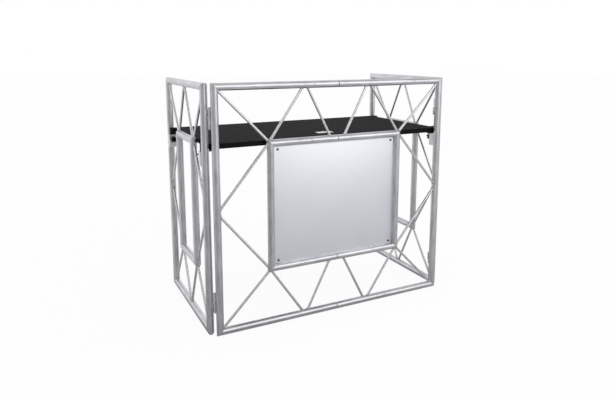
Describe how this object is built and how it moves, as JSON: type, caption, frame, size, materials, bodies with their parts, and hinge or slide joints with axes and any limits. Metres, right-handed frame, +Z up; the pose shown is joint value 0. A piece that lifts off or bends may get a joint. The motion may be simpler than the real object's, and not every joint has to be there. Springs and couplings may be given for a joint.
{
  "type": "dj booth",
  "caption": "Free-standing DJ booth: braced aluminium tube front with a flat panel, hinged side wings and a folding table on brackets.",
  "frame": {"origin": "middle of the outline on the floor", "axes": "+X along the front to the right as seen from the audience, +Y from the front to the open back, +Z up"},
  "size_m": [1.377, 0.7376, 1.2],
  "materials": {
    "tube_aluminium": "drawn mill-finish tube with fine lengthwise lines",
    "rod_aluminium": "bright drawn rod, welded at both ends",
    "panel_aluminium": "flat satin sheet",
    "hinge_plate": "zinc-plated steel",
    "hinge_pin": "bright steel",
    "zinc_screw": "zinc-plated steel",
    "black_screw": "black oxide",
    "bracket_aluminium": "bent satin sheet",
    "rest_plastic": "black moulding",
    "knob_plastic": "black moulding with a fine grain",
    "table_laminate": "board with a dark grey laminate",
    "table_edging": "black edge band"
  },
  "bodies": {
    "front_frame": {"rail_spigots": "tube_aluminium", "front_panel": "panel_aluminium", "panel_tabs": "rod_aluminium", "panel_screws": "black_screw", "front_hinge_leaves": "hinge_plate", "front_hinge_screws": "zinc_screw", "hinge_pins": "hinge_pin", "left_front_post": "tube_aluminium", "left_front_top_rail": "tube_aluminium", "left_front_bottom_rail": "tube_aluminium", "left_panel_frame_post": "tube_aluminium", "left_panel_frame_top_rail": "tube_aluminium", "left_panel_frame_bottom_rail": "tube_aluminium", "left_front_braces": "rod_aluminium", "right_front_post": "tube_aluminium", "right_front_top_rail": "tube_aluminium", "right_front_bottom_rail": "tube_aluminium", "right_panel_frame_post": "tube_aluminium", "right_panel_frame_top_rail": "tube_aluminium", "right_panel_frame_bottom_rail": "tube_aluminium", "right_front_braces": "rod_aluminium"},
    "left_wing": {"left_wing_front_post": "tube_aluminium", "left_wing_rear_post": "tube_aluminium", "left_wing_top_rail": "tube_aluminium", "left_wing_bottom_rail": "tube_aluminium", "left_wing_inner_front_post": "tube_aluminium", "left_wing_inner_rear_post": "tube_aluminium", "left_wing_inner_top_rail": "tube_aluminium", "left_wing_inner_bottom_rail": "tube_aluminium", "left_wing_braces": "rod_aluminium", "left_wing_hinge_leaves": "hinge_plate", "left_wing_hinge_screws": "zinc_screw", "left_table_brackets": "bracket_aluminium", "left_table_rests": "rest_plastic"},
    "right_wing": {"right_wing_front_post": "tube_aluminium", "right_wing_rear_post": "tube_aluminium", "right_wing_top_rail": "tube_aluminium", "right_wing_bottom_rail": "tube_aluminium", "right_wing_inner_front_post": "tube_aluminium", "right_wing_inner_rear_post": "tube_aluminium", "right_wing_inner_top_rail": "tube_aluminium", "right_wing_inner_bottom_rail": "tube_aluminium", "right_wing_braces": "rod_aluminium", "right_wing_hinge_leaves": "hinge_plate", "right_wing_hinge_screws": "zinc_screw", "right_table_brackets": "bracket_aluminium", "right_table_rests": "rest_plastic"},
    "table_left": {"left_table_board": "table_laminate", "left_table_edging": "table_edging", "left_table_hinge_leaf": "hinge_plate", "left_table_hinge_screws": "zinc_screw", "table_hinge_pin": "hinge_pin"},
    "table_right": {"right_table_board": "table_laminate", "right_table_edging": "table_edging", "right_table_hinge_leaf": "hinge_plate", "right_table_hinge_screws": "zinc_screw"},
    "left_front_knob": {"left_front_knob": "knob_plastic"},
    "left_rear_knob": {"left_rear_knob": "knob_plastic"},
    "right_front_knob": {"right_front_knob": "knob_plastic"},
    "right_rear_knob": {"right_rear_knob": "knob_plastic"}
  },
  "joints": [
    {"name": "left_wing_swing", "type": "hinge", "parent": "front_frame", "child": "left_wing", "pos_m": [-0.65075, -0.3325, 0.6], "axis": [0, 0, 1], "range_deg": [0, 90]},
    {"name": "right_wing_swing", "type": "hinge", "parent": "front_frame", "child": "right_wing", "pos_m": [0.65075, -0.3325, 0.6], "axis": [0, 0, -1], "range_deg": [0, 90]},
    {"name": "table_lift", "type": "slide", "parent": "front_frame", "child": "table_left", "axis": [0, 0, 1], "range_m": [0, 0.35]},
    {"name": "table_fold", "type": "hinge", "parent": "table_left", "child": "table_right", "pos_m": [0, -0.21625, 0.9236], "axis": [0, -1, 0], "range_deg": [0, 180]},
    {"name": "left_front_knob_turn", "type": "hinge", "parent": "left_wing", "child": "left_front_knob", "pos_m": [-0.6695, -0.26605, 0.8618], "axis": [0, 1, 0], "continuous": true},
    {"name": "left_rear_knob_turn", "type": "hinge", "parent": "left_wing", "child": "left_rear_knob", "pos_m": [-0.6695, 0.30555, 0.8618], "axis": [0, 1, 0], "continuous": true},
    {"name": "right_front_knob_turn", "type": "hinge", "parent": "right_wing", "child": "right_front_knob", "pos_m": [0.6695, -0.26605, 0.8618], "axis": [0, 1, 0], "continuous": true},
    {"name": "right_rear_knob_turn", "type": "hinge", "parent": "right_wing", "child": "right_rear_knob", "pos_m": [0.6695, 0.30555, 0.8618], "axis": [0, 1, 0], "continuous": true}
  ]
}
